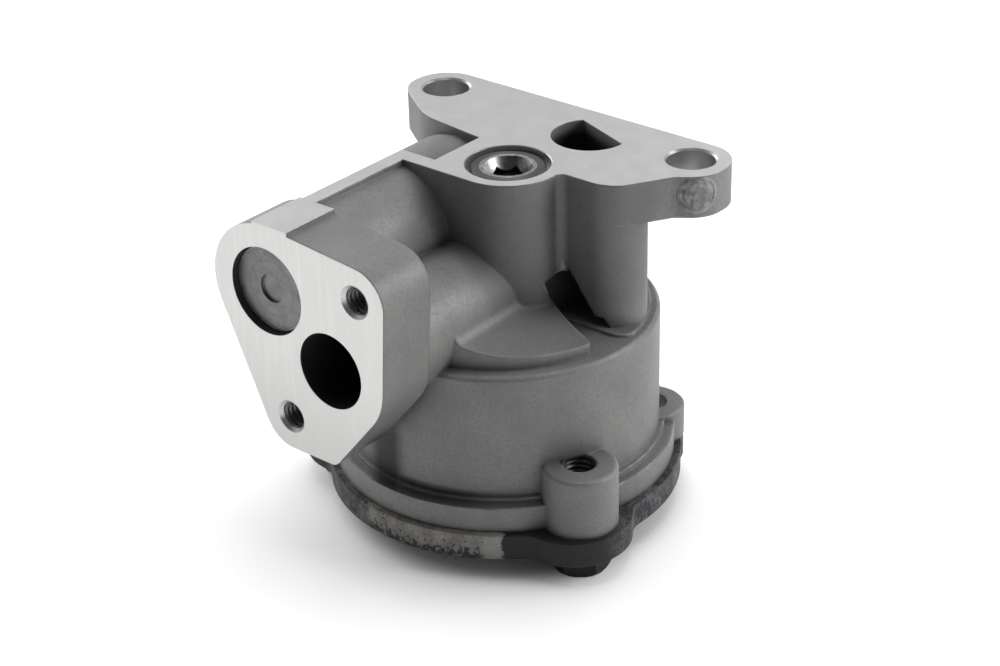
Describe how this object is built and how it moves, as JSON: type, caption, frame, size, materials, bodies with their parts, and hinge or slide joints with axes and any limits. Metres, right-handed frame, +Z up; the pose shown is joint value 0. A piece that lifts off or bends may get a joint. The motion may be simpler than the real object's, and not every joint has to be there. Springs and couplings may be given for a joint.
{
  "type": "engine oil pump",
  "caption": "Gerotor engine oil pump: cast aluminium body with a two-eared mounting flange, side pickup face with relief valve, and a bolted iron cover.",
  "frame": {"origin": "on the drive shaft's axis, in the plane of the mounting face", "axes": "+Z up out of the mounting face along the drive axis; the pickup face looks along -Y; X runs from ear to ear"},
  "size_m": [0.0742, 0.0786, 0.0681],
  "materials": {
    "die_cast": "as cast, with machined faces",
    "cast_cover": "dark, worn in patches",
    "ground_steel": "ground",
    "rotor_steel": "sintered, faces ground",
    "plug_steel": "dull",
    "bolt_steel": "black oxide",
    "spring_steel": "drawn wire"
  },
  "bodies": {
    "housing": {"pump_body": "die_cast", "cover": "cast_cover", "relief_plug": "plug_steel", "relief_spring": "spring_steel", "cover_bolt_1": "bolt_steel", "cover_bolt_2": "bolt_steel", "cover_bolt_3": "bolt_steel", "cover_bolt_4": "bolt_steel"},
    "drive": {"drive_shaft": "ground_steel", "rotor_pin": "ground_steel", "inner_rotor": "rotor_steel"},
    "outer": {"outer_rotor": "rotor_steel"},
    "plunger": {"relief_plunger": "ground_steel"}
  },
  "joints": [
    {"name": "shaft_spin", "type": "hinge", "parent": "housing", "child": "drive", "pos_m": [0, 0, -0.03], "axis": [0, 0, 1], "continuous": true},
    {"name": "outer_rotor_spin", "type": "hinge", "parent": "housing", "child": "outer", "pos_m": [-0.0023, 0, -0.04676], "axis": [0, 0, 1], "continuous": true},
    {"name": "relief_slide", "type": "slide", "parent": "housing", "child": "plunger", "axis": [0, -1, 0], "range_m": [0, 0.006], "stiffness_N_per_m": 6000, "springref_m": -0.008, "deforming": ["relief_spring"]}
  ],
  "couplings": [
    {"joint": "outer_rotor_spin", "follows": "shaft_spin", "ratio": 0.8}
  ]
}
